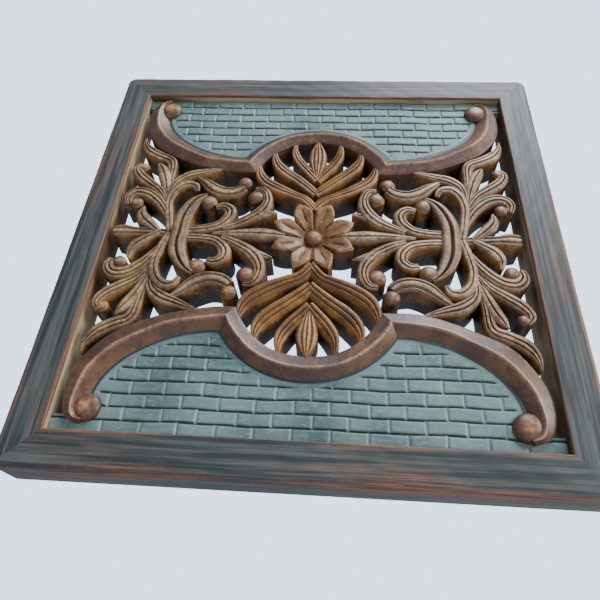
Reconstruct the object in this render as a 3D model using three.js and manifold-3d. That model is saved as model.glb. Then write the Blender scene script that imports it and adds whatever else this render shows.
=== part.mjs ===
// A square wall panel of carved wood: an openwork board of scrolls, leaves and a flower,
// with a field of small bricks above and below, held in a frame of four mitred rails.
// Millimetres. The board and rails are laid out in the panel's own plane, X to the right,
// Y up the wall and Z out towards the room, with the back at Z = 0. The whole group is then
// stood upright: up becomes +Z, and the carved face looks along -Y.
import * as THREE from 'three';
import { mergeVertices } from 'three/addons/utils/BufferGeometryUtils.js';
import Module from 'manifold-3d';

// Frame
const PANEL_SIDE = 304.8;
const RAIL_WIDTH = 21.2;
const FRAME_DEPTH = 22;
const OUTER_CORNER_RADIUS = 6;
const OUTER_ARRIS_RADIUS = 3;
const JOINT_GAP = 0.3;
const HALF_OPENING = PANEL_SIDE / 2 - RAIL_WIDTH;
const HALF_BOARD = HALF_OPENING - JOINT_GAP;

// Brick fields. The mortar lines stop short of the mouldings and of the corner knobs.
const GROUND_TOP = 17;
const COURSE_HEIGHT = 7.5;
const COURSES = 8;
const BRICK_LENGTH = 19.6;
const BRICKS_EACH_SIDE = 5;
const MORTAR_DEPTH = 0.8;
const MORTAR_MARGIN = 2;
const LOWER_FIELD_SHIFT = -5;
const CORNER_GROUND_HEIGHT = 9;
const KNOB_FOOT_X = 105;

// Mouldings between the bricks and the openwork. Each has an arris, with one slope down to
// the bricks and a gentler one to an edge over the openwork. An arch over each palmette...
const ARRIS_TOP = 21.7;
const EDGE_TOP = 19.4;
const BASE_TOP = GROUND_TOP - 0.5;
const ARCH_CENTRE_Y = 40.4;
const ARCH_STEPS = 9;
const ARCH_BASE = { radius: 57.8, firstDegrees: 30.5, top: BASE_TOP };
const ARCH_ARRIS = { radius: 51.2, firstDegrees: 24.1, top: ARRIS_TOP };
const ARCH_EDGE = { radius: 44, firstDegrees: 18.5, top: EDGE_TOP };

// ...and a branch from each end of it, round the knob in the corner: x, y
const BRANCH_STEPS = 9;
const BRANCH_BASE = [
  [49.8, 69.7], [59, 70], [76.8, 74.6], [88.8, 80.4], [99.6, 88], [106.6, 95.8],
  [111, 103.6], [113, 111], [114.2, 116.1], [114.2, 119.4], [113.1, 122],
];
const BRANCH_ARRIS = [
  [46.7, 61.3], [59, 62.7], [78.7, 66.5], [91.8, 72.8], [105, 81.3], [112.8, 89.6],
  [118.1, 99.1], [120.4, 108.9], [121, 117.4], [118.7, 123.3], [113.5, 125.3],
];
const BRANCH_EDGE = [
  [41.8, 54.4], [59.7, 54.8], [80.7, 59.7], [96.4, 66], [110.9, 74.5], [120, 84.6],
  [125.7, 95.5], [127.5, 106.3], [126.7, 115.5], [123.3, 123.3], [114.8, 126.6],
];

// Carved ribbons. Each point of a line is x, y, half width, and the height of the ribbon's
// shoulders. The groove is how far the middle lies below them, or above when negative.
const PETALS = 8;
const HUB = { radius: 19, top: 15 };
const PETAL = { groove: 1, steps: 3, line: [
  [7, 0, 2.5, 16], [13, 0, 5.2, 18], [19, 0, 6.6, 20], [24, 0, 4.4, 20.6], [27.6, 0, 0.4, 20],
] };
const PALMETTE_TIP = { groove: -1.2, steps: 4, line: [
  [0, 52.5, 1.5, 16], [0, 61.7, 4.6, 16.5], [0, 69.5, 6.5, 17], [0, 76.8, 5.2, 18],
  [0, 84.6, 1.4, 19],
] };
const SPIKE = { groove: -1, steps: 3, line: [
  [18, 0, 4, 18], [32.8, 0, 5.6, 19], [46, 0, 4, 19], [64, 0, 1.2, 18.6],
] };
const LILY_TONGUE = { groove: 1, steps: 4, line: [
  [89, 0, 2.9, 18], [105, 0, 3.9, 18.5], [114.1, 0, 3.9, 19], [122, 0, 5.6, 19.5],
  [127.6, 0, 4.4, 19.3],
] };
const PALMETTE_INNER_LOBE = { groove: 1.2, steps: 5, line: [
  [-1, 50, 4, 17.5], [4.6, 57.1, 4.3, 17.8], [10.2, 63.9, 4.3, 18.3], [14.2, 70.2, 3.9, 18.8],
  [15.7, 76.1, 2.6, 19.2], [15, 83.6, 0.5, 19],
] };
const PALMETTE_MIDDLE_LOBE = { groove: 1.2, steps: 5, line: [
  [-1, 36.5, 4, 18.5], [6.6, 44, 4.6, 18.6], [13.1, 49.9, 4.8, 18.8], [20.3, 55.8, 5, 19],
  [26.2, 61.9, 4.7, 19.2], [29.4, 68.2, 3.1, 19.4], [29.4, 75, 0.5, 19.2],
] };
const PALMETTE_OUTER_LOBE = { groove: 1.2, steps: 5, line: [
  [-1, 22, 3.6, 19.5], [6.6, 31.5, 3.9, 19.6], [13.1, 34.6, 4.2, 19.6], [24.9, 40.7, 5.4, 19.6],
  [34.4, 47.5, 5.2, 19.6], [38.6, 54.5, 3.4, 19.5], [39.6, 62.6, 0.5, 19.2],
] };
const FLOWER_BRANCH = { groove: 1.2, steps: 6, line: [
  [57.7, 3.9, 2.4, 19.5], [47.2, 8.5, 3.9, 19.8], [37.4, 15.1, 4.7, 20], [32.1, 23, 4.2, 20.2],
  [31.5, 30.2, 3.4, 20.2], [34.4, 36.8, 3, 20], [40, 38, 2, 19.5],
] };
const FLOWER_BRANCH_TIP = { groove: 1, steps: 2, line: [
  [44.6, 11.8, 2.6, 19.5], [34.1, 15.7, 3.9, 19.5], [24.3, 18, 0.4, 19.2],
] };
const INNER_SCROLL = { groove: 1.2, steps: 6, line: [
  [82, 3.5, 3.6, 18.8], [70.8, 3.9, 3.6, 18.9], [61, 6.6, 3.9, 19.2], [55.1, 13.1, 4.4, 19.6],
  [54.8, 19, 4.2, 19.8], [59, 22.6, 3.7, 19.8], [64.5, 21.6, 2.4, 19.5],
] };
const RING_STEM = { groove: 1, steps: 6, line: [
  [91.8, 0.6, 2.6, 19.5], [95.1, 15.7, 3.1, 19.8], [96.4, 26.2, 3.1, 20], [93.8, 35.4, 3.5, 20],
  [87.9, 40.7, 3.7, 20], [82, 40, 3.1, 19.8], [79.4, 34.8, 1.6, 19.3],
] };
const CRESCENT_LEAF = { groove: -1.2, steps: 5, line: [
  [47.9, 39.4, 3.9, 19.3], [52.5, 36.1, 5.2, 19.3], [60.4, 34.8, 5.5, 19.4],
  [68.2, 37.4, 5.5, 19.4], [75.4, 43.3, 3.9, 19.2], [82, 48.6, 1.6, 18.8],
] };
const MOULDING_LEAF = { groove: 1.2, steps: 5, line: [
  [97.7, 32.4, 2, 19], [95.1, 42.6, 3.3, 19.5], [87.9, 49.2, 4.5, 19.6], [78.7, 52.5, 3.7, 19.5],
  [64, 57, 0.8, 19],
] };
const HOOKED_SCROLL = { groove: 1.2, steps: 6, line: [
  [90.5, 0.6, 2, 19], [96.4, 14.4, 2.9, 19.5], [103.6, 24.9, 4.2, 20], [112.8, 32.1, 4.6, 20.2],
  [120.7, 32.8, 4.7, 20.2], [124.6, 28.2, 3.9, 20], [123.6, 22.6, 2.6, 19.6],
] };
const HOOKED_LEAF = { groove: 1.2, steps: 5, line: [
  [98.1, 24.2, 1.6, 19], [105, 35.4, 3.4, 19.5], [113.5, 42, 4.3, 19.8], [121.4, 48.5, 4.3, 20],
  [124.6, 54.4, 3.3, 20], [121.6, 58.8, 2, 19.8],
] };
const SHORT_LEAF = { groove: -1, steps: 4, line: [
  [98.7, 27.2, 1.6, 18.5], [101.7, 42, 3.9, 18.6], [105, 51.2, 4.6, 18.8],
  [108.9, 57.7, 3.4, 18.8], [111.5, 61.6, 0.8, 18.4],
] };
const LONG_LEAF = { groove: 1, steps: 5, line: [
  [98.7, 30.1, 1.6, 18.5], [100.4, 49.9, 2.9, 18.8], [103, 63.6, 4.2, 19],
  [111.5, 68.2, 4.5, 19.2], [120, 73.5, 4.6, 19.3], [124.4, 80, 2.6, 19.3],
  [125.3, 86.9, 0.5, 19],
] };
const LILY_PETAL = { groove: -1, steps: 4, line: [
  [98.7, 0.2, 2, 18.5], [105, 5.2, 3.7, 18.8], [110.9, 10.5, 4.7, 19], [113.5, 15.7, 3.4, 19],
  [113.1, 21.6, 0.7, 18.6],
] };

// All but the petals lie in the quarter up and to the right. The other quarters mirror it.
const AXIS_Y_RIBBONS = [PALMETTE_TIP];
const AXIS_X_RIBBONS = [SPIKE, LILY_TONGUE];
const QUARTER_RIBBONS = [
  PALMETTE_INNER_LOBE, PALMETTE_MIDDLE_LOBE, PALMETTE_OUTER_LOBE, FLOWER_BRANCH,
  FLOWER_BRANCH_TIP, INNER_SCROLL, RING_STEM, CRESCENT_LEAF, MOULDING_LEAF, HOOKED_SCROLL,
  HOOKED_LEAF, SHORT_LEAF, LONG_LEAF, LILY_PETAL,
];
const QUARTERS = [[1, 1], [-1, 1], [-1, -1], [1, -1]];

// Upper half of the big scroll between two balls, mirrored across the level axis
const BIG_SCROLL_GROOVE = 1.6;
const BIG_SCROLL_STEPS = 8;
const BIG_SCROLL_HALF = [
  [85.3, 0, 5.9, 20.3], [85, 9.2, 5.8, 20.3], [83, 17, 5.5, 20.4], [79.4, 24.3, 4.6, 20.5],
  [75.4, 28.9, 2.9, 20.4], [71.5, 31.5, 1.6, 20],
];

// Round-topped studs: the flower's button, then in each quarter the ball beside the flower,
// the one in the big scroll, the one on the crescent leaf, one in each of the two hooks by
// the side rail, and the knob in the corner
const BUTTON = { x: 0, y: 0, radius: 5.9, top: 19.6, sides: 8 };
const QUARTER_STUDS = [
  { x: 39.4, y: 30.8, radius: 5.6, top: 21.3, sides: 6 },
  { x: 70.2, y: 26.2, radius: 5.9, top: 21, sides: 6 },
  { x: 47.9, y: 44, radius: 5.2, top: 21, sides: 6 },
  { x: 118.7, y: 24.3, radius: 4.4, top: 20.8, sides: 6 },
  { x: 120.7, y: 56.4, radius: 3.9, top: 20.5, sides: 6 },
  { x: 113.2, y: 117.8, radius: 7.9, top: 21.6, sides: 10 },
];

const wasm = await Module();
wasm.setup();

function toSolid(geometry) {
  const bare = geometry.clone();
  bare.deleteAttribute('normal');
  bare.deleteAttribute('uv');
  const merged = mergeVertices(bare);
  return new wasm.Manifold(new wasm.Mesh({
    numProp: 3,
    vertProperties: new Float32Array(merged.attributes.position.array),
    triVerts: new Uint32Array(merged.index.array),
  }));
}

function toMesh(solid, name, material) {
  const { vertProperties, triVerts } = solid.getMesh();
  const geometry = new THREE.BufferGeometry();
  geometry.setAttribute('position', new THREE.BufferAttribute(vertProperties, 3));
  geometry.setIndex(new THREE.BufferAttribute(triVerts, 1));
  geometry.computeVertexNormals();
  const mesh = new THREE.Mesh(geometry, material);
  mesh.name = name;
  return mesh;
}

// Joins a row of equal rings of points into one closed body, turned and mirrored into its
// place. Each end is a fan about the ring's first point, which sees the whole ring.
function loft(rings, [flipX, flipY], turn = 0) {
  const sides = rings[0].length;
  const upAxis = new THREE.Vector3(0, 0, 1);
  const flip = new THREE.Vector3(flipX, flipY, 1);
  const placed = rings.flat().map((point) => point.clone().applyAxisAngle(upAxis, turn).multiply(flip));
  const faces = [];
  for (let ring = 0; ring + 1 < rings.length; ring += 1) {
    for (let side = 0; side < sides; side += 1) {
      const here = ring * sides + side;
      const next = ring * sides + (side + 1) % sides;
      faces.push([here, next + sides, next], [here, here + sides, next + sides]);
    }
  }
  const last = (rings.length - 1) * sides;
  for (let side = 1; side + 1 < sides; side += 1) {
    faces.push([0, side, side + 1], [last, last + side + 1, last + side]);
  }
  const outward = flipX * flipY < 0 ? faces.map(([a, b, c]) => [a, c, b]) : faces;
  const geometry = new THREE.BufferGeometry().setFromPoints(placed);
  geometry.setIndex(outward.flat());
  return toSolid(geometry);
}

// A ribbon of wood standing on the back plane: upright sides, and a top that falls or rises
// to a line along its middle.
function ribbon({ groove, steps, line }, flips, turn) {
  const midline = new THREE.CatmullRomCurve3(line.map(([x, y]) => new THREE.Vector3(x, y, 0)));
  const sizes = new THREE.SplineCurve(line.map(([, , width, top]) => new THREE.Vector2(width, top)));
  const rings = [];
  for (let step = 0; step <= steps; step += 1) {
    const middle = midline.getPoint(step / steps);
    const ahead = midline.getTangent(step / steps);
    const { x: width, y: top } = sizes.getPoint(step / steps);
    const across = new THREE.Vector3(-ahead.y, ahead.x, 0).multiplyScalar(width);
    const left = middle.clone().add(across);
    const right = middle.clone().sub(across);
    const dip = groove * Math.min(1, width / Math.abs(groove) / 2);
    rings.push([
      middle.setZ(top - dip),
      left.clone().setZ(top),
      left,
      right,
      right.clone().setZ(top),
    ]);
  }
  return loft(rings, flips, turn);
}

// A post with a domed top.
function stud({ x, y, radius, top, sides }, [flipX, flipY] = [1, 1]) {
  const dome = radius / 2;
  const profile = [
    new THREE.Vector2(0, 0),
    new THREE.Vector2(radius, 0),
    new THREE.Vector2(radius, top - dome),
    new THREE.Vector2(radius * Math.SQRT1_2, top - dome * (1 - Math.SQRT1_2)),
    new THREE.Vector2(0, top),
  ];
  const geometry = new THREE.LatheGeometry(profile, sides);
  geometry.rotateX(Math.PI / 2);
  geometry.translate(x * flipX, y * flipY, 0);
  return toSolid(geometry);
}

// One line of the arch, from its left cusp over the palmette to its right one.
function archLine({ radius, firstDegrees, top }) {
  const curve = new THREE.EllipseCurve(
    0,
    ARCH_CENTRE_Y,
    radius,
    radius,
    THREE.MathUtils.degToRad(180 - firstDegrees),
    THREE.MathUtils.degToRad(firstDegrees),
    true,
  );
  return curve.getPoints(ARCH_STEPS).map(({ x, y }) => new THREE.Vector3(x, y, top));
}

function branchLine(points, top) {
  const curve = new THREE.SplineCurve(points.map(([x, y]) => new THREE.Vector2(x, y)));
  return curve.getPoints(BRANCH_STEPS).map(({ x, y }) => new THREE.Vector3(x, y, top));
}

// A moulding from three matching lines: its foot in the bricks, its arris, and its edge
// over the openwork.
function moulding(base, arris, edge, flips) {
  const rings = arris.map((ridge, index) => [
    ridge,
    base[index],
    base[index].clone().setZ(0),
    edge[index].clone().setZ(0),
    edge[index],
  ]);
  return loft(rings, flips);
}

// The stretches of a level line that lie in the bricks, clear of the mouldings and knobs.
function groundSpans(y) {
  const rows = BRANCH_BASE.filter(([x]) => x < KNOB_FOOT_X);
  const above = rows.findIndex(([, rowY]) => rowY > y);
  if (above === 0) {
    return [];
  }
  let outer = KNOB_FOOT_X;
  if (above > 0) {
    const [lowX, lowY] = rows[above - 1];
    const [highX, highY] = rows[above];
    outer = lowX + (highX - lowX) * (y - lowY) / (highY - lowY);
  }
  outer -= MORTAR_MARGIN;
  const reach = ARCH_BASE.radius + MORTAR_MARGIN;
  const rise = y - ARCH_CENTRE_Y;
  if (rise >= reach) {
    return [[-outer, outer]];
  }
  const inner = Math.sqrt(reach ** 2 - rise ** 2);
  return inner < outer ? [[-outer, -inner], [inner, outer]] : [];
}

// The outline of a brick field: the rails' corner, then the arris lines of the mouldings.
function fieldOutline() {
  const cornerLine = HALF_BOARD - CORNER_GROUND_HEIGHT;
  const branch = branchLine(BRANCH_ARRIS, 0).slice(1).filter(({ y }) => y < cornerLine).reverse();
  const points = [
    new THREE.Vector2(-HALF_BOARD, HALF_BOARD),
    new THREE.Vector2(-HALF_BOARD, cornerLine),
    ...branch.map(({ x, y }) => new THREE.Vector2(-x, y)),
    ...archLine(ARCH_ARRIS).map(({ x, y }) => new THREE.Vector2(x, y)),
    ...branch.reverse().map(({ x, y }) => new THREE.Vector2(x, y)),
    new THREE.Vector2(HALF_BOARD, cornerLine),
    new THREE.Vector2(HALF_BOARD, HALF_BOARD),
  ];
  return new THREE.Shape(points);
}

// One brick field, above the carving, or below it with flipY of -1. V-shaped mortar lines
// are cut by square bars laid on edge: one bed under each course, and the joints in it.
function brickField(flipY, jointShift) {
  const slab = new THREE.ExtrudeGeometry(fieldOutline(), { depth: GROUND_TOP, bevelEnabled: false });
  if (flipY < 0) {
    slab.rotateZ(Math.PI);
  }
  let field = toSolid(slab);
  const barSide = MORTAR_DEPTH * Math.SQRT2;
  const inBricks = (x, y) => groundSpans(y).some(([from, to]) => x > from && x < to);
  for (let course = 1; course <= COURSES; course += 1) {
    const bedY = HALF_OPENING - course * COURSE_HEIGHT;
    for (const [from, to] of groundSpans(bedY)) {
      const bed = new THREE.BoxGeometry(to - from, barSide, barSide);
      bed.rotateX(Math.PI / 4);
      bed.translate((from + to) / 2, bedY * flipY, GROUND_TOP);
      field = field.subtract(toSolid(bed));
    }
    const stagger = (course - 1) % 2 / 2;
    for (let brick = -BRICKS_EACH_SIDE; brick <= BRICKS_EACH_SIDE; brick += 1) {
      const x = (brick + stagger) * BRICK_LENGTH + jointShift;
      if (inBricks(x, bedY) && inBricks(x, bedY + COURSE_HEIGHT)) {
        const joint = new THREE.BoxGeometry(barSide, COURSE_HEIGHT, barSide);
        joint.rotateY(Math.PI / 4);
        joint.translate(x, (bedY + COURSE_HEIGHT / 2) * flipY, GROUND_TOP);
        field = field.subtract(toSolid(joint));
      }
    }
  }
  return field;
}

function flower() {
  const hub = new THREE.CylinderGeometry(HUB.radius, HUB.radius, HUB.top, PETALS);
  hub.rotateX(Math.PI / 2);
  hub.translate(0, 0, HUB.top / 2);
  const parts = [stud(BUTTON), toSolid(hub)];
  for (let petal = 0; petal < PETALS; petal += 1) {
    parts.push(ribbon(PETAL, [1, 1], 2 * Math.PI * (petal + 0.5) / PETALS));
  }
  return parts;
}

function bigScroll(flips) {
  const lowerHalf = BIG_SCROLL_HALF.slice(1).reverse();
  const line = [
    ...lowerHalf.map(([x, y, width, top]) => [x, -y, width, top]),
    ...BIG_SCROLL_HALF,
  ];
  return ribbon({ groove: BIG_SCROLL_GROOVE, steps: BIG_SCROLL_STEPS, line }, flips);
}

function carvedBoard() {
  const parts = [brickField(1, 0), brickField(-1, LOWER_FIELD_SHIFT), ...flower()];
  for (const side of [1, -1]) {
    parts.push(...AXIS_Y_RIBBONS.map((shape) => ribbon(shape, [1, side])));
    parts.push(...AXIS_X_RIBBONS.map((shape) => ribbon(shape, [side, 1])));
    parts.push(bigScroll([side, 1]));
    parts.push(moulding(archLine(ARCH_BASE), archLine(ARCH_ARRIS), archLine(ARCH_EDGE), [1, side]));
  }
  for (const quarter of QUARTERS) {
    parts.push(...QUARTER_RIBBONS.map((shape) => ribbon(shape, quarter)));
    parts.push(...QUARTER_STUDS.map((shape) => stud(shape, quarter)));
    parts.push(moulding(
      branchLine(BRANCH_BASE, BASE_TOP),
      branchLine(BRANCH_ARRIS, ARRIS_TOP),
      branchLine(BRANCH_EDGE, EDGE_TOP),
      quarter,
    ));
  }
  return parts.reduce((board, part) => board.add(part));
}

// The whole frame in one: a square with rounded corners and a soft outer arris, less its
// opening. It starts behind the back plane, where the rails' wedges trim it flat.
function frameRing() {
  const flat = PANEL_SIDE / 2 - OUTER_CORNER_RADIUS;
  const outline = new THREE.Shape();
  outline.absarc(flat, flat, OUTER_CORNER_RADIUS, 0, Math.PI / 2);
  outline.absarc(-flat, flat, OUTER_CORNER_RADIUS, Math.PI / 2, Math.PI);
  outline.absarc(-flat, -flat, OUTER_CORNER_RADIUS, Math.PI, 1.5 * Math.PI);
  outline.absarc(flat, -flat, OUTER_CORNER_RADIUS, 1.5 * Math.PI, 2 * Math.PI);
  const block = new THREE.ExtrudeGeometry(outline, {
    depth: FRAME_DEPTH,
    curveSegments: 3,
    bevelSize: OUTER_ARRIS_RADIUS,
    bevelOffset: -OUTER_ARRIS_RADIUS,
    bevelThickness: OUTER_ARRIS_RADIUS,
    bevelSegments: 2,
  });
  block.translate(0, 0, -OUTER_ARRIS_RADIUS);
  const opening = new THREE.BoxGeometry(2 * HALF_OPENING, 2 * HALF_OPENING, 4 * FRAME_DEPTH);
  return toSolid(block).subtract(toSolid(opening));
}

// One rail of the frame, cut from the ring by a wedge whose two sides are the mitres.
function rail(ring, quarterTurns) {
  const reach = PANEL_SIDE;
  const gap = JOINT_GAP / Math.SQRT2;
  const outline = new THREE.Shape();
  outline.moveTo(0, gap);
  outline.lineTo(reach, reach + gap);
  outline.lineTo(-reach, reach + gap);
  const wedge = new THREE.ExtrudeGeometry(outline, { depth: 2 * FRAME_DEPTH, bevelEnabled: false });
  wedge.rotateZ(quarterTurns * Math.PI / 2);
  return ring.intersect(toSolid(wedge));
}

const carvedWood = new THREE.MeshStandardMaterial({ color: 0x7d6250, roughness: 0.55, metalness: 0 });
const paintedWood = new THREE.MeshStandardMaterial({ color: 0x4c565c, roughness: 0.6, metalness: 0 });

const panel = new THREE.Group();
panel.name = 'carved_wall_panel';
panel.rotation.x = Math.PI / 2;
panel.add(toMesh(carvedBoard(), 'carved_board', carvedWood));
const ring = frameRing();
['top_rail', 'left_rail', 'bottom_rail', 'right_rail'].forEach((name, quarterTurns) => {
  panel.add(toMesh(rail(ring, quarterTurns), name, paintedWood.clone()));
});

export default panel;
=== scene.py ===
from math import pi, radians

import bpy
import numpy as np
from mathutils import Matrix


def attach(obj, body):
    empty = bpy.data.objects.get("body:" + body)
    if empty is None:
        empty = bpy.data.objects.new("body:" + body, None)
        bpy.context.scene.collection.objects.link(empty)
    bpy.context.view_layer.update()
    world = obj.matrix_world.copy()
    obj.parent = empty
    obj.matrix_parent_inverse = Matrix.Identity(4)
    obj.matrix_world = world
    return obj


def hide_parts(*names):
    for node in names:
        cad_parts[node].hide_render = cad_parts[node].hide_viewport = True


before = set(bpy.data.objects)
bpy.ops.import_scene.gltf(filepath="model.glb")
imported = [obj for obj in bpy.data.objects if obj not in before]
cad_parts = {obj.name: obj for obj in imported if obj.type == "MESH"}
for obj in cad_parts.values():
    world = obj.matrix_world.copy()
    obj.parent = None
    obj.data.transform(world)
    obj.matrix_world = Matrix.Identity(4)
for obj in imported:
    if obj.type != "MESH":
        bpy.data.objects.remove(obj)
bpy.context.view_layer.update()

# ---------------------------------------------------------------------------------------
# The room. The panel hangs upright and faces -Y, seen from below and in front of it. A pale
# blue-white room shows through the openwork, a pale floor lies below, and three soft windows
# light the carving.
# ---------------------------------------------------------------------------------------
camera = bpy.data.objects.new("camera", bpy.data.cameras.new("camera"))
camera.data.lens = 31.83
camera.data.clip_start = 0.01
camera.location = (0.01382, -0.27924, -0.21082)
camera.rotation_euler = (radians(122.0355), radians(-3.5432), radians(1.9659))
bpy.context.collection.objects.link(camera)
bpy.context.scene.camera = camera

world = bpy.data.worlds.new("pale_room")
bpy.context.scene.world = world
world.use_nodes = True
room_seen = world.node_tree.nodes["Background"]
room_seen.inputs["Color"].default_value = (0.66, 0.83, 1.0, 1)
room_seen.inputs["Strength"].default_value = 2.7
room_light = world.node_tree.nodes.new("ShaderNodeBackground")
room_light.inputs["Color"].default_value = (0.68, 0.8, 0.95, 1)
room_light.inputs["Strength"].default_value = 0.42
seen = world.node_tree.nodes.new("ShaderNodeLightPath")
either = world.node_tree.nodes.new("ShaderNodeMixShader")
for wire_from, wire_to in [
    (seen.outputs["Is Camera Ray"], either.inputs[0]),
    (room_light.outputs[0], either.inputs[1]),
    (room_seen.outputs[0], either.inputs[2]),
    (either.outputs[0], world.node_tree.nodes["World Output"].inputs["Surface"]),
]:
    world.node_tree.links.new(wire_from, wire_to)


def window(name, place, width, height, watts, colour):
    """A soft rectangular light at a place, turned towards the middle of the panel."""
    light = bpy.data.lights.new(name, "AREA")
    light.shape = "RECTANGLE"
    light.size = width
    light.size_y = height
    light.energy = watts
    light.color = colour
    lamp = bpy.data.objects.new(name, light)
    lamp.location = place
    x, y, z = place
    lamp.rotation_euler = (np.arctan2(np.hypot(x, y), z), 0, np.arctan2(y, x) + pi / 2)
    bpy.context.collection.objects.link(lamp)


window("window_above", (0.35, -0.55, 0.9), 0.5, 0.5, 15, (0.86, 0.93, 1.0))
window("window_right", (0.95, -0.4, 0.25), 0.4, 0.4, 9, (1.0, 0.96, 0.9))
window("window_below", (-0.2, -0.9, -0.7), 0.6, 0.6, 4, (1.0, 0.94, 0.86))

floor_mesh = bpy.data.meshes.new("floor")
floor_corners = [(-3, -3, -0.4), (3, -3, -0.4), (3, 3, -0.4), (-3, 3, -0.4)]
floor_mesh.from_pydata(floor_corners, [], [(0, 1, 2, 3)])
floor = bpy.data.objects.new("floor", floor_mesh)
floor_finish = bpy.data.materials.new("pale_floor")
floor_finish.use_nodes = True
floor_finish.node_tree.nodes["Principled BSDF"].inputs["Base Color"].default_value = (0.7, 0.73, 0.76, 1)
floor_mesh.materials.append(floor_finish)
bpy.context.collection.objects.link(floor)

# ---------------------------------------------------------------------------------------
# The frame's rails. Four flat strips of wood with soft arrises, mitred and glued at the
# corners. They are painted slate blue-grey with the brush along the grain, then rubbed
# through to reddish brown.
# ---------------------------------------------------------------------------------------
PANEL_SIDE = 304.8
RAIL_WIDTH = 21.2
FRAME_DEPTH = 22.0
OUTER_CORNER_RADIUS = 6.0
OUTER_ARRIS = 2.6
INNER_ARRIS = 0.9
BACK_ARRIS = 0.5
RAIL_STEPS = 90
CORNER_STEPS = 5
HALF_OPENING = PANEL_SIDE / 2 - RAIL_WIDTH


def tint(red, green, blue):
    """A colour given on the usual 0 to 255 scale, as the linear values that light needs."""
    return tuple(((value / 255 + 0.055) / 1.055) ** 2.4 for value in (red, green, blue)) + (1.0,)


class Wire:
    """A node's output. The signs +, - and * between wires, or a wire and a number, add the
    Math nodes that work out the same sum."""

    def __init__(self, tree, socket):
        self.tree = tree
        self.socket = socket

    def sum(self, operation, first, second):
        return node(self.tree, "ShaderNodeMath", {"operation": operation}, {0: first, 1: second})

    def __add__(self, other):
        return self.sum("ADD", self, other)

    def __sub__(self, other):
        return self.sum("SUBTRACT", self, other)

    def __mul__(self, other):
        return self.sum("MULTIPLY", self, other)

    def __radd__(self, other):
        return self.sum("ADD", other, self)

    def __rsub__(self, other):
        return self.sum("SUBTRACT", other, self)

    def __rmul__(self, other):
        return self.sum("MULTIPLY", other, self)


def node(tree, kind, settings, inputs, output=0):
    """Adds one node: its settings first, then the value or wire of each input, by name or
    number. Gives back the wire of one output."""
    made = tree.nodes.new(kind)
    for key, value in settings.items():
        setattr(made, key, value)
    for key, value in inputs.items():
        if isinstance(value, Wire):
            tree.links.new(value.socket, made.inputs[key])
        else:
            made.inputs[key].default_value = value
    return Wire(tree, made.outputs[output])


def noise(tree, place, scale, stretch=(1, 1, 1), detail=3.0, roughness=0.55):
    """Noise of so many features a metre, drawn out along an axis where stretch is small."""
    drawn = node(tree, "ShaderNodeMapping", {}, {"Vector": place, "Scale": stretch})
    inputs = {"Vector": drawn, "Scale": scale, "Detail": detail, "Roughness": roughness}
    return node(tree, "ShaderNodeTexNoise", {}, inputs)


def ramp(tree, value, low, high):
    """0 below low, 1 above high, and a smooth rise between them."""
    settings = {"interpolation_type": "SMOOTHSTEP"}
    inputs = {"Value": value, "From Min": low, "From Max": high}
    return node(tree, "ShaderNodeMapRange", settings, inputs)


def blend(tree, amount, first, second):
    """The first colour where amount is 0, the second where it is 1."""
    return node(tree, "ShaderNodeMix", {"data_type": "RGBA"}, {0: amount, 6: first, 7: second}, 2)


def blank_finish(name, **uniform):
    """A new material with its uniform values set. Gives it, its tree and its shader."""
    finish = bpy.data.materials.new(name)
    finish.use_nodes = True
    shader = finish.node_tree.nodes["Principled BSDF"]
    for key, value in uniform.items():
        shader.inputs[key.replace("_", " ")].default_value = value
    return finish, finish.node_tree, shader


def join(tree, shader, **wires):
    """Leads wires into the shader's inputs of the same names."""
    for key, wire in wires.items():
        tree.links.new(wire.socket, shader.inputs[key.replace("_", " ")])


def piece(name, points, faces, finish, crest=None, crease=38):
    """A mesh object from points in millimetres on the panel (right, up, out), stood upright
    in the row frame: right stays X, up becomes Z, and out becomes -Y. Crest is kept as an
    attribute, 1 where the finish is rubbed and a highlight is painted and 0 in the hollows. On
    the bricks it marks painted shadow, and with a minus sign painted highlight, and a crest
    of 2 marks a rail's inner wall, painted pale as a highlight."""
    mesh = bpy.data.meshes.new(name)
    placed = points[:, [0, 2, 1]] * (0.001, -0.001, 0.001)
    mesh.from_pydata(placed.tolist(), [], faces)
    if crest is not None:
        mesh.attributes.new("crest", "FLOAT", "POINT").data.foreach_set("value", crest)
    mesh.update()
    mesh.shade_smooth()
    mesh.set_sharp_from_angle(angle=radians(crease))
    mesh.materials.append(finish)
    made = bpy.data.objects.new(name, mesh)
    bpy.context.collection.objects.link(made)
    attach(made, "root")
    return made


def closed_sweep(rings):
    """Faces of a closed body whose points are a grid of rings, each a loop of points: a quad
    between each pair of neighbours, and one flat face over each end. They are turned round
    where the body's volume, the sum of the tetrahedra to its first point, is negative."""
    count, sides = rings.shape[:2]
    index = np.arange(count * sides).reshape(count, sides)
    here, beside = index[:-1], np.roll(index[:-1], -1, axis=1)
    above, across = index[1:], np.roll(index[1:], -1, axis=1)
    quads = np.stack([here, beside, across, above], axis=-1).reshape(-1, 4)
    flat = rings.reshape(-1, 3)
    a, b, c, d = (flat[quads[:, corner]] - flat[0] for corner in range(4))
    volume = np.einsum("ij,ij->", a, np.cross(b, c)) + np.einsum("ij,ij->", a, np.cross(c, d))
    faces = quads.tolist() + [index[0, ::-1].tolist(), index[-1].tolist()]
    return faces if volume > 0 else [face[::-1] for face in faces]


def hand_cut(points, reach=0.25):
    """Moves points a little, as hand work does: each coordinate gains a sum of slow sines of
    the place on the panel, so that neighbours move together."""
    x, y = points[..., 0], points[..., 1]
    moved = points.copy()
    moved[..., 0] += reach * (np.sin(0.071 * x + 0.13 * y + 1) + 0.6 * np.sin(0.19 * y - 0.083 * x))
    moved[..., 1] += reach * (np.sin(0.088 * y - 0.11 * x + 2) + 0.6 * np.sin(0.17 * x + 0.061 * y))
    return moved


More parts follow.
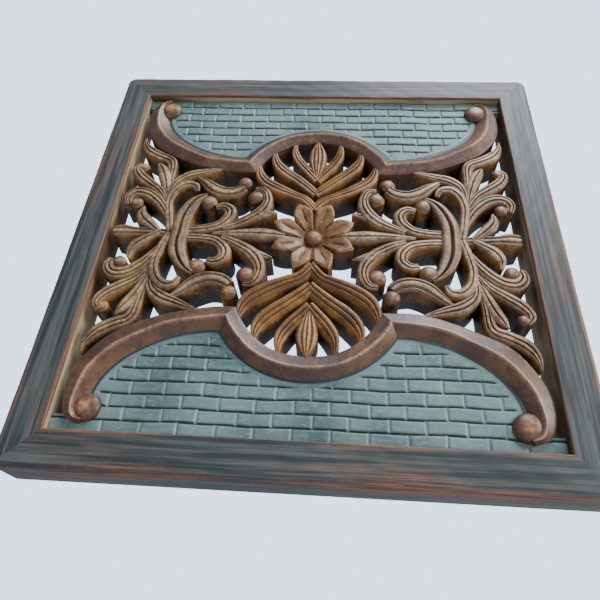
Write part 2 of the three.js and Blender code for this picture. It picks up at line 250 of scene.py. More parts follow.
def brushed_paint(name, grain):
    """Streaked paint. Fine streaks are noise drawn out along the grain, and the wood shows
    where streaks, broad patches and rubbed edges add up past a limit. The inner wall over the
    carving, marked by a crest of 2, is painted pale cream mottled with dark ochre instead, a
    painted highlight that gives it the pale look of a lit wall."""
    finish, tree, shader = blank_finish(name, Specular_IOR_Level=0.4)
    place = node(tree, "ShaderNodeTexCoord", {}, {}, "Object")
    crest = node(tree, "ShaderNodeAttribute", {"attribute_name": "crest"}, {}, "Fac")
    streak = noise(tree, place, 1.0, [14 if axis == grain else 480 for axis in range(3)], 4)
    hair = noise(tree, place, 1.0, [40 if axis == grain else 1500 for axis in range(3)], 2)
    patch = noise(tree, place, 1.0, [9 if axis == grain else 40 for axis in range(3)], 3)
    edge = ramp(tree, crest, 0, 1) - ramp(tree, crest, 1.1, 1.4)
    speck = noise(tree, place, 650, detail=2)
    bare = ramp(tree, streak * 0.36 + patch * 0.48 + speck * 0.16 + edge * 0.12, 0.485, 0.68)
    slate = blend(tree, ramp(tree, streak, 0.35, 0.7), tint(54, 58, 59), tint(96, 101, 98))
    wood = blend(tree, ramp(tree, hair, 0.35, 0.65), tint(90, 54, 40), tint(150, 98, 74))
    colour = blend(tree, bare * 0.85, slate, wood)
    # Painted highlight: the inner wall is pale cream mottled with dark ochre, the pale look of a lit wall.
    pale_wall_light = blend(tree, ramp(tree, patch, 0.4, 0.6), tint(96, 66, 34), tint(190, 168, 128))
    colour = blend(tree, ramp(tree, crest, 1.2, 1.8), colour, pale_wall_light)
    height = hair * 0.4 + streak * 0.6 - bare * 0.25
    bump = node(tree, "ShaderNodeBump", {}, {"Strength": 0.5, "Distance": 0.0004, "Height": height})
    join(tree, shader, Base_Color=colour, Roughness=0.42 + 0.2 * hair, Normal=bump)
    return finish


def rail(name, quarter_turns, finish):
    """A mitred rail. Its section is a loop with a wide rounding at the outer arris and a
    small one at the inner. It is carried from mitre to mitre along the outline of a rounded
    square, smaller for the points that lie further in."""
    turn = np.linspace(0, pi / 2, 7)
    outer, inner, back = OUTER_ARRIS, INNER_ARRIS, BACK_ARRIS
    inset = np.concatenate([
        RAIL_WIDTH - inner + inner * np.cos(turn),
        np.linspace(RAIL_WIDTH - inner, outer, 14)[1:-1],
        outer - outer * np.sin(turn),
        back - back * np.cos(turn),
    ])
    height = np.concatenate([
        FRAME_DEPTH - inner + inner * np.sin(turn),
        np.full(12, FRAME_DEPTH),
        FRAME_DEPTH - outer + outer * np.cos(turn),
        back - back * np.sin(turn),
    ])
    inset = np.append(inset, [RAIL_WIDTH - 0.4, RAIL_WIDTH, RAIL_WIDTH])
    height = np.append(height, [0, 0.2, FRAME_DEPTH - 2.5])
    half = PANEL_SIDE / 2 - inset
    corner = np.maximum(OUTER_CORNER_RADIUS - inset, 0.02)
    straight = np.linspace(-1, 1, RAIL_STEPS)
    bend = np.linspace(0, pi / 4, CORNER_STEPS + 1)[1:]
    along = np.concatenate([np.full(CORNER_STEPS, -1), straight, np.full(CORNER_STEPS, 1)])
    swing = np.concatenate([-bend[::-1], np.zeros(RAIL_STEPS), bend])
    x = along[:, None] * (half - corner) + np.sin(swing)[:, None] * corner
    y = (half - corner) + np.cos(swing)[:, None] * corner
    z = height + 0.1 * np.sin(0.09 * x + 1) + 0.07 * np.sin(0.31 * x + 0.5 * y)
    z = np.where(height > 1, z, height)
    cosine = np.round(np.cos(quarter_turns * pi / 2))
    sine = np.round(np.sin(quarter_turns * pi / 2))
    rings = np.stack([cosine * x - sine * y, sine * x + cosine * y, z], axis=-1)
    near_outer = np.exp(-(((inset - 1) ** 2 + (height - 21.2) ** 2) / 3.5))
    near_inner = np.exp(-(((inset - 20.7) ** 2 + (height - 21.6) ** 2) / 2.5))
    # A crest of 2 marks the inner wall, which the paint makes pale cream as a painted highlight.
    wall = 2.0 * (np.arange(len(inset)) >= len(inset) - 2)
    crest = np.broadcast_to(near_outer + near_inner * (wall == 0) + wall, rings.shape[:2])
    return piece(name, rings.reshape(-1, 3), closed_sweep(rings), finish, crest.ravel())


level_paint = brushed_paint("level_brushed_paint", 0)
upright_paint = brushed_paint("upright_brushed_paint", 2)
for quarter_turns, side in enumerate(["top", "left", "bottom", "right"]):
    finish = upright_paint if quarter_turns % 2 else level_paint
    made = rail(f"painted_{side}_rail", quarter_turns, finish)
    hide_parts(f"{side}_rail")

# ---------------------------------------------------------------------------------------
# The brick fields. The ground above and below the carving is cut into courses of small
# bricks with a gouge, up to a plain strip along the mouldings. It is painted pale verdigris,
# with painted shadow in the beds and along the mouldings' foot, and painted highlight in the
# upright joints.
# ---------------------------------------------------------------------------------------
HALF_BOARD = HALF_OPENING - 0.3
GROUND_TOP = 17.0
COURSE_HEIGHT = 7.5
BRICK_LENGTH = 19.6
MORTAR_DEPTH = 0.9
MORTAR_WIDTH = 0.6
PLAIN_STRIP = 2.6
ARCH_CENTRE_Y = 40.4
ARCH_FOOT = (57.8, 30.5)
ARCH_ARRIS = (51.2, 24.1)
ARCH_EDGE = (44, 18.5)
ARCH_ARRIS_LOW = 61.2
CORNER_GROUND_Y = 122
BRANCH_BASE = [
    [49.8, 69.7], [59, 70], [76.8, 74.6], [88.8, 80.4], [99.6, 88], [106.6, 95.8],
    [111, 103.6], [113, 111], [114.2, 116.1], [114.2, 119.4], [113.1, 122],
]
BRANCH_ARRIS = [
    [46.7, 61.3], [59, 62.7], [78.7, 66.5], [91.8, 72.8], [105, 81.3], [112.8, 89.6],
    [118.1, 99.1], [120.4, 108.9], [121, 117.4], [118.7, 123.3], [113.5, 125.3],
]
BRANCH_EDGE = [
    [41.8, 54.4], [59.7, 54.8], [80.7, 59.7], [96.4, 66], [110.9, 74.5], [120, 84.6],
    [125.7, 95.5], [127.5, 106.3], [126.7, 115.5], [123.3, 123.3], [114.8, 126.6],
]


def through(rows, count):
    """A smooth line through rows of numbers, the first two of them a place. It is a cubic
    between neighbours, with at each row the slope of the parabola through it and the rows
    beside it, spaced by the square root of the distance between places."""
    rows = np.array(rows, float)
    gap = np.sqrt(np.linalg.norm(np.diff(rows[:, :2], axis=0), axis=1))
    knot = np.concatenate([[0], np.cumsum(gap)])
    rise = np.diff(rows, axis=0) / gap[:, None]
    slope = np.empty_like(rows)
    near, far = gap[:-1, None], gap[1:, None]
    slope[1:-1] = (far * rise[:-1] + near * rise[1:]) / (near + far)
    slope[0] = 1.5 * rise[0] - 0.5 * slope[1]
    slope[-1] = 1.5 * rise[-1] - 0.5 * slope[-2]
    place = np.linspace(0, knot[-1], count)
    start = np.clip(np.searchsorted(knot, place) - 1, 0, len(gap) - 1)
    width = gap[start][:, None]
    t = (place - knot[start])[:, None] / width
    a, b = rows[start], rows[start + 1]
    p, q = slope[start] * width, slope[start + 1] * width
    return a + t * p + t**2 * (3 * (b - a) - 2 * p - q) + t**3 * (2 * (a - b) + p + q)


def arch(radius, first_degrees, count):
    """The right half of a moulding's arch, from its cusp up to the middle of the panel."""
    angle = np.radians(np.linspace(first_degrees, 90, count))
    return np.stack([radius * np.cos(angle), ARCH_CENTRE_Y + radius * np.sin(angle)], axis=-1)


def tiled_height(x, y, shift):
    """Height of the ground over its hollows. Each place falls in a course and a brick, and
    the joints dip as a bell curve of the distance to the nearest brick edge. Each brick
    sits, tips and is jittered by sines of its own number. Gives the height, and how deep the
    place is in a bed, or with a minus sign in an upright joint, which the paint turns into
    painted shadow and painted highlight."""
    y = y + 0.25 * np.sin(0.09 * x + 0.7) + 0.15 * np.sin(0.23 * x + y)
    row = np.floor((HALF_OPENING - y) / COURSE_HEIGHT)
    bed = (HALF_OPENING - y) - row * COURSE_HEIGHT
    place = (x - shift) / BRICK_LENGTH - (row % 2) / 2
    place = place + 0.035 * np.sin(5.1 * row + 3.3 * np.round(place))
    brick = np.floor(place)
    joint = (place - brick) * BRICK_LENGTH
    to_bed = np.minimum(bed, COURSE_HEIGHT - bed)
    to_joint = np.minimum(joint, BRICK_LENGTH - joint)
    bed_dip = np.exp(-((to_bed / MORTAR_WIDTH) ** 2))
    joint_dip = np.exp(-((to_joint / MORTAR_WIDTH) ** 2))
    sit = 0.12 * np.sin(12.9 * row + 78.2 * brick) + 0.03 * (bed - 3.7) * np.sin(4.7 * brick + row)
    return sit - MORTAR_DEPTH * np.maximum(bed_dip, joint_dip), bed_dip - joint_dip


def brick_field(name, side, shift, finish):
    """A closed slab. Its top is a grid of columns across the panel, each running up from the
    mouldings' arris line, with the points below that line drawn up to it. The joint lines fade
    out over a plain strip beside the mouldings' foot, and a painted shadow, a dark line, lies
    along the foot."""
    branch = through(BRANCH_ARRIS, 60)
    branch = branch[branch[:, 1] < CORNER_GROUND_Y - 0.5]
    corner = [[branch[-1, 0] + 0.2, CORNER_GROUND_Y]]
    rim = np.concatenate([arch(*ARCH_ARRIS, 40)[::-1], branch[1:], corner])
    x = np.linspace(-HALF_BOARD, HALF_BOARD, 525)
    lowest = np.interp(np.abs(x), rim[:, 0], rim[:, 1], right=CORNER_GROUND_Y)
    y = np.maximum(np.linspace(ARCH_ARRIS_LOW, HALF_BOARD, 141)[None, :], lowest[:, None])
    x = np.broadcast_to(x[:, None], y.shape)
    foot = np.concatenate([arch(*ARCH_FOOT, 90)[::-1], through(BRANCH_BASE, 90)])
    away = np.full(y.shape, 99.0)
    for foot_x, foot_y in foot:
        away = np.minimum(away, np.hypot(np.abs(x) - foot_x, y - foot_y))
    bricks, dip = tiled_height(x, y, shift)
    shown = np.clip((away - PLAIN_STRIP) / 1.6, 0, 1)
    drift = 0.12 * np.sin(0.11 * x + 0.07 * y) + 0.08 * np.sin(0.23 * y - 0.05 * x)
    top = GROUND_TOP + bricks * shown + drift
    back = np.full_like(y[:, :1], 0.6)
    floor_line = np.stack([x[:, -1:], y[:, -1:], back], axis=-1)
    back_line = np.stack([x[:, :1], y[:, :1], back], axis=-1)
    rings = np.concatenate([np.stack([x, y, top], axis=-1), floor_line, back_line], axis=1)
    rings[..., 1] *= side
    # Painted shadow: a dark line on the bricks along the mouldings' foot.
    foot_shadow = 0.8 * np.exp(-((away / 1.1) ** 2)) * (away < 3)
    crest = np.maximum(dip * shown, foot_shadow) + np.minimum(dip * shown, 0)
    crest = np.pad(crest, ((0, 0), (0, 2))).ravel()
    return piece(name, rings.reshape(-1, 3), closed_sweep(rings), finish, crest, 60)


BARE_WOOD = tint(104, 78, 54)


def verdigris_paint():
    """Pale paint with painted shadow, dark in the beds and along the mouldings' foot, and painted
    highlight, lighter in the upright joints, with broad clouds and a fine brush streak. It stops
    near the back, which is bare wood."""
    finish, tree, shader = blank_finish("verdigris_paint", Specular_IOR_Level=0.45)
    place = node(tree, "ShaderNodeTexCoord", {}, {}, "Object")
    joint_light_and_shade = node(tree, "ShaderNodeAttribute", {"attribute_name": "crest"}, {}, "Fac")
    cloud = noise(tree, place, 28, detail=4)
    fine = noise(tree, place, 1.0, (260, 600, 600), 3)
    base = blend(tree, ramp(tree, cloud, 0.3, 0.7), tint(82, 106, 105), tint(122, 144, 139))
    base = blend(tree, ramp(tree, fine, 0.45, 0.75) * 0.45, base, tint(150, 172, 168))
    # Painted highlight in the upright joints, then painted shadow in the beds and along the mouldings' foot.
    base = blend(tree, ramp(tree, 0 - joint_light_and_shade, 0.25, 0.9) * 0.75, base, tint(160, 184, 180))
    base = blend(tree, ramp(tree, joint_light_and_shade, 0.15, 0.65) * 0.92, base, tint(28, 44, 46))
    split = node(tree, "ShaderNodeSeparateXYZ", {}, {"Vector": place}, "Y")
    colour = blend(tree, ramp(tree, split * -1000.0, 0.8, 8), BARE_WOOD, base)
    bump = node(tree, "ShaderNodeBump", {}, {"Strength": 0.4, "Distance": 0.0003, "Height": fine})
    join(tree, shader, Base_Color=colour, Roughness=0.4 + 0.25 * cloud, Normal=bump)
    return finish


brick_paint = verdigris_paint()
for name, side, shift in [("upper_brick_field", 1, 0), ("lower_brick_field", -1, -5)]:
    made = brick_field(name, side, shift, brick_paint)
    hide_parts("carved_board")

# ---------------------------------------------------------------------------------------
# The mouldings. A band with one crisp arris stands between the bricks and the openwork: an
# arch over each palmette, and a branch from each of its cusps to the knob in the corner,
# where it curls round and runs out. The arris is rubbed to orange tan, with a painted
# highlight at its top.
# ---------------------------------------------------------------------------------------
ARRIS_TOP = 21.6
EDGE_TOP = 19.4
FOOT_TOP = GROUND_TOP - 0.6


def waxed_wood(name, shade, rubbed, rub_and_highlight, wax=0.8):
    """Stained wood with ochre wax. Painted shade makes it darkest deep down, by the height over
    the back. Ochre wax lies in patches on the flanks, where the crest attribute is low, and the
    crests are rubbed pale, with a painted highlight that is brightest at the very arris. The
    back is bare wood."""
    finish, tree, shader = blank_finish(name, Specular_IOR_Level=0.5)
    place = node(tree, "ShaderNodeTexCoord", {}, {}, "Object")
    split = node(tree, "ShaderNodeSeparateXYZ", {}, {"Vector": place}, "Y")
    height = split * -1000.0
    crest = node(tree, "ShaderNodeAttribute", {"attribute_name": "crest"}, {}, "Fac")
    cloud = noise(tree, place, 70, detail=4)
    fine = noise(tree, place, 480, detail=3)
    # Painted shade: the colour falls to near-black brown towards the back, by the height over it.
    deep = ramp(tree, height + cloud * 5, 12, 22)
    body = blend(tree, deep, tint(36, 22, 12), shade)
    wall = 1 - ramp(tree, height, 15, 17.5)
    ochre = ramp(tree, cloud * 0.7 + fine * 0.3, 0.42, 0.6) * ramp(tree, height, 5, 16)
    ochre = ochre * (1 - ramp(tree, crest, 0.3, 0.75))
    ochre = ochre * ramp(tree, crest + cloud * 0.3 + wall * 0.3, 0.1, 0.3)
    body = blend(tree, ochre * wax, body, tint(168, 118, 54))
    worn = ramp(tree, crest + (fine - 0.5) * 0.7 + (cloud - 0.5) * 0.9, 0.42, 0.95)
    body = blend(tree, worn, body, rubbed)
    # Painted highlight over the rub: the highest crests, the mouldings' arris and the studs' tops turn to
    # the palest colour.
    top = ramp(tree, crest + (fine - 0.5) * 0.5 + (cloud - 0.5) * 0.6, 0.8, 1.1)
    colour = blend(tree, top * 0.85, body, rub_and_highlight)
    colour = blend(tree, ramp(tree, height, 1, 1.4), BARE_WOOD, colour)
    relief = fine * 0.5 + cloud
    bump = node(tree, "ShaderNodeBump", {}, {"Strength": 0.5, "Distance": 0.0006, "Height": relief})
    join(tree, shader, Base_Color=colour, Roughness=0.3 + 0.25 * fine, Normal=bump)
    return finish


def moulding(foot, arris, edge):
    """Rings across three matching lines. The band climbs from the foot to the arris in a
    full curve and falls to the edge in a hollow one, each a power of the way across, then
    drops plumb to the back. Gives the rings and their crests."""
    up = np.linspace(0, 1, 9)[None, :, None]
    down = np.linspace(0, 1, 11)[None, 1:, None]
    foot, arris, edge = foot[:, None], arris[:, None], edge[:, None]
    climb = foot + (arris - foot) * up
    fall = arris + (edge - arris) * down
    climb_top = FOOT_TOP + (ARRIS_TOP - FOOT_TOP) * up**0.8
    fall_top = ARRIS_TOP + (EDGE_TOP - ARRIS_TOP) * (1.35 * down - 0.35 * down**2)
    fall_top = fall_top - 0.5 * down**12
    flat = np.concatenate([climb, fall, edge, edge, edge, foot], axis=1)
    walls = np.array([EDGE_TOP - 2.5, 8, 0, 0])
    top = np.concatenate([climb_top[0, :, 0], fall_top[0, :, 0], walls])
    # The crest peaks at the arris, where the finish paints the rub and a highlight.
    crest = np.concatenate([
        0.3 + 0.7 * np.exp(-(((1 - up) / 0.2) ** 2)).ravel(),
        0.46 + 0.6 * np.exp(-((down / 0.16) ** 2)).ravel() + 0.2 * (down**8).ravel(),
        [0.15, 0, 0, 0],
    ])
    rings = np.concatenate([flat, np.broadcast_to(top[None, :, None], (*flat.shape[:2], 1))], axis=2)
    return rings, np.broadcast_to(crest, rings.shape[:2])


def mirrored(rings, flip_x, flip_y):
    """The same body on another quarter of the panel, with a few tenths of a millimetre of
    hand work that differs from quarter to quarter."""
    placed = rings * (flip_x, flip_y, 1)
    return hand_cut(placed)


def carving(name, bodies, finish, crease=38, back=0.0):
    """One piece from several closed bodies, each a grid of rings with its crests. Their backs
    step in by hundredths of a millimetre, so that no two lie in one plane where they cross."""
    points, crests, faces, first = [], [], [], 0
    for layer, (rings, crest) in enumerate(bodies):
        rings = np.concatenate([rings[..., :2], np.maximum(rings[..., 2:], back + 0.02 * layer)], axis=-1)
        faces += [[corner + first for corner in face] for face in closed_sweep(rings)]
        first += rings.shape[0] * rings.shape[1]
        points.append(rings.reshape(-1, 3))
        crests.append(crest.ravel())
    made = piece(name, np.concatenate(points), faces, finish, np.concatenate(crests), crease)
    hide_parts("carved_board")
    return made


def whole_arch(radius, first_degrees):
    """An arch's line from its left cusp to its right one."""
    half = arch(radius, first_degrees, 60)
    return np.concatenate([half * (-1, 1), half[-2::-1]])


moulding_wood = waxed_wood("moulding_wood", tint(84, 56, 46), tint(128, 98, 86), tint(214, 150, 98), 0.25)
arch_rings, arch_crest = moulding(*(whole_arch(*line) for line in (ARCH_FOOT, ARCH_ARRIS, ARCH_EDGE)))
branch_lines = [through(rows, 110) for rows in (BRANCH_BASE, BRANCH_ARRIS, BRANCH_EDGE)]
branch_rings, branch_crest = moulding(*branch_lines)
for side, name in [(1, "upper"), (-1, "lower")]:
    carving(f"{name}_arch_moulding", [(mirrored(arch_rings, 1, side), arch_crest)], moulding_wood, 25)
    for across, hand in [(1, "right"), (-1, "left")]:
        body = (mirrored(branch_rings, across, side), branch_crest)
        carving(f"{name}_{hand}_branch_moulding", [body], moulding_wood, 25)

# ---------------------------------------------------------------------------------------
# The studs: the knobs in the four corners, and the balls where the scrolls and leaves curl
# up. Each is a post left in the board, its top rounded over and rubbed to a warm tan, with a
# painted highlight at the very top.
# ---------------------------------------------------------------------------------------
QUARTERS = [(1, 1), (-1, 1), (-1, -1), (1, -1)]
BALLS = [
    (39.4, 30.8, 5.6, 21.3), (70.2, 26.2, 5.9, 21), (47.9, 44, 5.2, 21),
    (118.7, 24.3, 4.4, 20.8), (120.7, 56.4, 3.9, 20.5),
]
KNOB = (113.2, 117.8, 7.9, 21.6)


def stud(x, y, radius, top, dome=0.62):
    """A post turned about its middle. Its side is plumb and its top is a quarter of an oval,
    as high as a share of the radius."""
    swing = np.radians(np.linspace(0, 88, 14))
    out = np.concatenate([[radius, radius, radius], radius * np.cos(swing)])
    rise = np.concatenate([[0, 9, top - radius * dome - 2], top - radius * dome * (1 - np.sin(swing))])
    angle = np.linspace(0, 2 * pi, 33)[:-1]
    rings = np.stack([
        x + out[:, None] * np.cos(angle),
        y + out[:, None] * np.sin(angle),
        np.broadcast_to(rise[:, None], (len(rise), 32)),
    ], axis=-1)
    # The crest climbs to the dome's top, where the finish paints the rub and a highlight.
    crest = np.clip((rise - top + radius * dome) / (radius * dome), 0, 1) * 0.95
    return rings, np.broadcast_to(crest[:, None], rings.shape[:2])


ball_wood = waxed_wood("ball_wood", tint(84, 56, 40), tint(128, 92, 68), tint(222, 158, 100))
knob_rings, knob_crest = stud(*KNOB, dome=0.5)
carving("corner_knobs", [(mirrored(knob_rings, *q), knob_crest) for q in QUARTERS], ball_wood, back=0.05)
balls = [stud(*ball) for ball in BALLS]
bodies = [(mirrored(rings, *q), crest) for rings, crest in balls for q in QUARTERS]
carving("balls", bodies, ball_wood, back=0.13)

# ---------------------------------------------------------------------------------------
# The flower. Eight cupped petals round a button, carved in the solid. The petals rise from a
# dished middle to their tips, with a cut between neighbours and a short stroke down the
# middle of each.
# ---------------------------------------------------------------------------------------
PETALS = 8
PETAL_TIP = 27.6
PETAL_NOTCH = 17.8


def petals():
    """Loops round the flower, from its foot over the rim and in to the middle. The rim's
    radius falls from tip to notch as a power of the way round from the petal's middle. The
    height climbs with the radius, rises towards each petal's sides, and falls in a narrow
    bell at the cut between petals and in a shallow one along the middle."""
    angle = np.linspace(0, 2 * pi, 8 * 28 + 1)[:-1]
    turn = angle * PETALS / (2 * pi)
    aside = np.abs(turn - np.floor(turn) - 0.5) * 2
    rim = PETAL_TIP - (PETAL_TIP - PETAL_NOTCH) * aside**1.05
    inward = np.concatenate([[1, 1, 1], np.linspace(1, 0.02, 44)])[:, None]
    radius = inward * rim
    climb = np.interp(radius, [0, 5, 7, 9, 13, 19, 24, 28], [15, 15, 15.4, 16.6, 18.2, 20, 20.7, 20.2])
    fade = np.clip((radius - 7) / 4, 0, 1)
    cup = 0.9 * aside**2 * fade - 2.4 * fade * np.exp(-(((1 - aside) / 0.16) ** 2))
    stroke = np.clip((radius - 12) / 2, 0, 1) * np.clip((22.5 - radius) / 2.5, 0, 1)
    groove = np.exp(-((aside * radius / 28 / 0.07) ** 2))
    rolled = 0.7 * np.exp(-(((1 - inward) / 0.03) ** 2))
    top = climb + cup - 0.7 * stroke * groove - rolled
    top[0] = 0
    top[1] = 10
    top[2] = top[3] - 1.2
    crest = np.clip(0.25 + 0.45 * fade + 0.3 * aside**2 - stroke * groove, 0, 1)
    crest = np.clip(crest - 1.1 * np.exp(-(((1 - aside) / 0.2) ** 2)) * fade, 0, 1)
    crest = np.clip(crest + 0.3 * rolled, 0, 1)
    crest[:3] = np.array([[0], [0.05], [0.3]])
    return np.stack([radius * np.cos(angle), radius * np.sin(angle), top], axis=-1), crest


flower_wood = waxed_wood("flower_wood", tint(108, 68, 38), tint(150, 108, 70), tint(208, 162, 110))
carving("flower", [petals(), stud(0, 0, 5.9, 19.6, 0.8)], flower_wood, back=0.01)

# ---------------------------------------------------------------------------------------
# The palmettes. Seven lobes fan out from behind the flower, above and below it, those next
# to the flower the highest. Each is cut with long grooves that leave ribs, and falls away
# from the flower.
# ---------------------------------------------------------------------------------------
def ribbon(line, crown, grooves, tilt=0.0, count=52):
    """A carved strip. A smooth middle line runs through points of x, y, half width and
    height. Across it the top is crowned as 1 less the square of the way out, is rounded
    over at its edges, tilts to the left, and falls in a bell at each groove, given as place,
    width and depth. All of that shrinks where the strip narrows. Its sides are plumb."""
    points = through(line, count)
    middle, half, top = points[:, :2], np.maximum(points[:, 2:3], 0.35), points[:, 3:4]
    ahead = np.gradient(middle, axis=0)
    ahead /= np.linalg.norm(ahead, axis=1, keepdims=True)
    left = ahead[:, ::-1] * (-1, 1)
    out = np.linspace(-1, 1, 29)
    bells = [depth * np.exp(-(((out - place) / width) ** 2)) for place, width, depth in grooves]
    cut = np.sum(bells, axis=0) if grooves else 0 * out
    shape = crown * (1 - out**2) - 0.9 * np.abs(out) ** 9 - tilt * (out + 1) / 2 - cut
    size = np.clip(half / 3.6, 0.15, 1.15)
    surface = top + size * shape
    rib = np.clip(0.72 + 0.2 * shape / max(crown, 0.5) - 1.1 * cut, 0, 1)
    rib = rib - 0.3 * np.abs(out) ** 9 - 0.3 * (out + 1) / 2 * (tilt > 0)
    shoulder = surface[:, [0, -1]]
    sides = [
        (1, np.maximum(shoulder[:, 1:] - 2.2, 1)), (1, np.full_like(half, 8)), (1, 0 * half),
        (-1, 0 * half), (-1, np.full_like(half, 8)), (-1, np.maximum(shoulder[:, :1] - 2.2, 1)),
    ]
    across = np.concatenate([np.broadcast_to(out, surface.shape)] + [0 * half + s for s, _ in sides], axis=1)
    height = np.concatenate([surface] + [z for _, z in sides], axis=1)
    flat = middle[:, None] + left[:, None] * (across * half)[..., None]
    crest = np.concatenate([np.clip(rib, 0, 1), [0.22, 0.05, 0, 0, 0.05, 0.22]])
    return np.concatenate([flat, height[..., None]], axis=2), np.broadcast_to(crest, height.shape)


PALMETTE_LOBES = [
    [[0, 52.5, 1.5, 16], [0, 61.7, 4.6, 16.8], [0, 69.5, 6.5, 17.6], [0, 76.8, 5.2, 18.4],
     [0, 84.6, 1, 19]],
    [[-1, 50, 4, 17.5], [4.6, 57.1, 4.3, 17.8], [10.2, 63.9, 4.3, 18.3], [14.2, 70.2, 3.9, 18.8],
     [15.7, 76.1, 2.6, 19.2], [15, 83.6, 0.5, 19]],
    [[-1, 36.5, 4, 18.5], [6.6, 44, 4.6, 18.6], [13.1, 49.9, 4.8, 18.8], [20.3, 55.8, 5, 19],
     [26.2, 61.9, 4.7, 19.2], [29.4, 68.2, 3.1, 19.4], [29.4, 75, 0.5, 19.2]],
    [[-1, 22, 3.6, 19.5], [6.6, 31.5, 3.9, 19.6], [13.1, 34.6, 4.2, 19.6], [24.9, 40.7, 5.4, 19.6],
     [34.4, 47.5, 5.2, 19.6], [38.6, 54.5, 3.4, 19.5], [39.6, 62.6, 0.5, 19.2]],
]
LOBE_GROOVES = [(-0.28, 0.1, 1.1), (0.3, 0.09, 0.9)]
TIP_GROOVES = [(-0.45, 0.1, 1.0), (0, 0.08, 0.8), (0.45, 0.1, 1.0)]

carved_wood = waxed_wood("carved_wood", tint(88, 58, 36), tint(130, 102, 76), tint(204, 176, 134))
palmette_wood = waxed_wood("palmette_wood", tint(112, 72, 38), tint(154, 114, 76), tint(222, 186, 136))
tip, *lobes = PALMETTE_LOBES
for side, name in [(1, "upper"), (-1, "lower")]:
    rings, crest = ribbon(tip, 0.9, TIP_GROOVES)
    bodies = [(mirrored(rings, 1, side), crest)]
    for line in lobes:
        rings, crest = ribbon(line, 0.7, LOBE_GROOVES, tilt=2.2)
        bodies += [(mirrored(rings, across, side), crest) for across in (1, -1)]
    carving(f"{name}_palmette", bodies, palmette_wood, back=0.07)

# ---------------------------------------------------------------------------------------
# The scrolls beside the flower: a spike and a forked branch from it, the inner scrolls that
# cup a ball, the big double scroll that closes them in, and the ring stem round that. They
# are reeded bands, with fine grooves along them.
# ---------------------------------------------------------------------------------------
SPIKE = [[18, 0, 4, 18], [32.8, 0, 5.6, 19], [46, 0, 4, 19], [64, 0, 1.2, 18.6]]
FLOWER_BRANCH = [
    [57.7, 3.9, 2.4, 19.5], [47.2, 8.5, 3.9, 19.8], [37.4, 15.1, 4.7, 20], [32.1, 23, 4.2, 20.2],
    [31.5, 30.2, 3.4, 20.2], [34.4, 36.8, 3, 20], [40, 38, 2, 19.5],
]
FLOWER_BRANCH_TIP = [[44.6, 11.8, 2.6, 19.5], [34.1, 15.7, 3.9, 19.5], [24.3, 18, 0.4, 19.2]]
INNER_SCROLL = [
    [82, 3.5, 3.6, 18.8], [70.8, 3.9, 3.6, 18.9], [61, 6.6, 3.9, 19.2], [55.1, 13.1, 4.4, 19.6],
    [54.8, 19, 4.2, 19.8], [59, 22.6, 3.7, 19.8], [64.5, 21.6, 2.4, 19.5],
]
BIG_SCROLL = [
    [71.5, -31.5, 1.6, 20], [75.4, -28.9, 2.9, 20.4], [79.4, -24.3, 4.6, 20.5], [83, -17, 5.5, 20.4],
    [85, -9.2, 5.8, 20.3], [85.3, 0, 5.9, 20.3], [85, 9.2, 5.8, 20.3], [83, 17, 5.5, 20.4],
    [79.4, 24.3, 4.6, 20.5], [75.4, 28.9, 2.9, 20.4], [71.5, 31.5, 1.6, 20],
]
RING_STEM = [
    [91.8, 0.6, 2.6, 19.5], [95.1, 15.7, 3.1, 19.8], [96.4, 26.2, 3.1, 20], [93.8, 35.4, 3.5, 20],
    [87.9, 40.7, 3.7, 20], [82, 40, 3.1, 19.8], [79.4, 34.8, 1.6, 19.3],
]
REEDS = [(-0.2, 0.09, 1.1), (0.42, 0.08, 0.9)]
REEDS_BACK = [(0.2, 0.09, 1.1), (-0.42, 0.08, 0.9)]

for across, hand in [(1, "right"), (-1, "left")]:
    bodies = []
    for line, crown, grooves in [(SPIKE, 1.3, [(0, 0.07, 0.6)]), (BIG_SCROLL, 0.5, [(-0.06, 0.13, 1.8)])]:
        rings, crest = ribbon(line, crown, grooves, count=90)
        bodies.append((mirrored(rings, across, 1), crest))
    for line, grooves in [
        (FLOWER_BRANCH, REEDS_BACK), (FLOWER_BRANCH_TIP, [(0, 0.1, 0.8)]),
        (INNER_SCROLL, REEDS_BACK), (RING_STEM, [(0.1, 0.1, 1.0)]),
    ]:
        rings, crest = ribbon(line, 0.6, grooves)
        bodies += [(mirrored(rings, across, side), crest) for side in (1, -1)]
    carving(f"{hand}_scrolls", bodies, carved_wood, back=0.21)

# ---------------------------------------------------------------------------------------
# The leaves beyond the scrolls: a crescent over the ring stem, a leaf that lies along the
# moulding, a scroll and three leaves that run out to the side rail, and a lily where the
# two halves meet.
# ---------------------------------------------------------------------------------------
CRESCENT_LEAF = [
    [47.9, 39.4, 3.9, 19.3], [52.5, 36.1, 5.2, 19.3], [60.4, 34.8, 5.5, 19.4],
    [68.2, 37.4, 5.5, 19.4], [75.4, 43.3, 3.9, 19.2], [82, 48.6, 1.6, 18.8],
]
MOULDING_LEAF = [
    [97.7, 32.4, 2, 19], [95.1, 42.6, 3.3, 19.5], [87.9, 49.2, 4.5, 19.6], [78.7, 52.5, 3.7, 19.5],
    [64, 57, 0.8, 19],
]
HOOKED_SCROLL = [
    [90.5, 0.6, 2, 19], [96.4, 14.4, 2.9, 19.5], [103.6, 24.9, 4.2, 20], [112.8, 32.1, 4.6, 20.2],
    [120.7, 32.8, 4.7, 20.2], [124.6, 28.2, 3.9, 20], [123.6, 22.6, 2.6, 19.6],
]
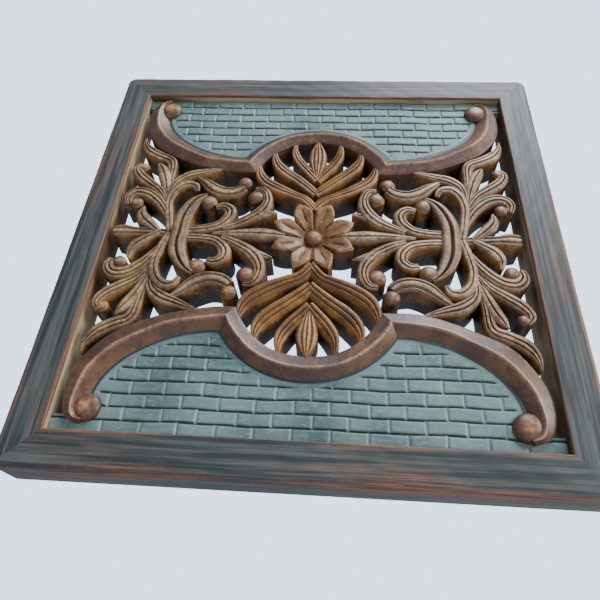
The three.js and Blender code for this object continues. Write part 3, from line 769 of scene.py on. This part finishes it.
HOOKED_LEAF = [
    [98.1, 24.2, 1.6, 19], [105, 35.4, 3.4, 19.5], [113.5, 42, 4.3, 19.8], [121.4, 48.5, 4.3, 20],
    [124.6, 54.4, 3.3, 20], [121.6, 58.8, 2, 19.8],
]
SHORT_LEAF = [
    [98.7, 27.2, 1.6, 18.5], [101.7, 42, 3.9, 18.6], [105, 51.2, 4.6, 18.8],
    [108.9, 57.7, 3.4, 18.8], [111.5, 61.6, 0.8, 18.4],
]
LONG_LEAF = [
    [98.7, 30.1, 1.6, 18.5], [100.4, 49.9, 2.9, 18.8], [103, 63.6, 4.2, 19],
    [111.5, 68.2, 4.5, 19.2], [120, 73.5, 4.6, 19.3], [124.4, 80, 2.6, 19.3], [125.3, 86.9, 0.5, 19],
]
LILY_PETAL = [
    [98.7, 0.2, 2, 18.5], [105, 5.2, 3.7, 18.8], [110.9, 10.5, 4.7, 19], [113.5, 15.7, 3.4, 19],
    [113.1, 21.6, 0.7, 18.6],
]
LILY_TONGUE = [
    [89, 0, 2.9, 18], [105, 0, 3.9, 18.5], [114.1, 0, 3.9, 19], [122, 0, 5.6, 19.5], [127.6, 0, 4.4, 19.3],
]

for across, hand in [(1, "right"), (-1, "left")]:
    rings, crest = ribbon(LILY_TONGUE, 0.4, [(-0.4, 0.12, 0.8), (0.4, 0.12, 0.8)])
    bodies = [(mirrored(rings, across, 1), crest)]
    for line, crown, grooves in [
        (CRESCENT_LEAF, 1.4, [(-0.45, 0.1, 0.8), (0.4, 0.1, 0.8)]),
        (MOULDING_LEAF, 0.5, REEDS),
        (HOOKED_SCROLL, 0.6, REEDS),
        (HOOKED_LEAF, 0.6, REEDS),
        (SHORT_LEAF, 1.1, [(0, 0.1, 0.9)]),
        (LONG_LEAF, 0.6, REEDS),
        (LILY_PETAL, 1.0, [(0, 0.1, 0.9)]),
    ]:
        rings, crest = ribbon(line, crown, grooves)
        bodies += [(mirrored(rings, across, side), crest) for side in (1, -1)]
    carving(f"{hand}_leaves", bodies, carved_wood, back=0.42)
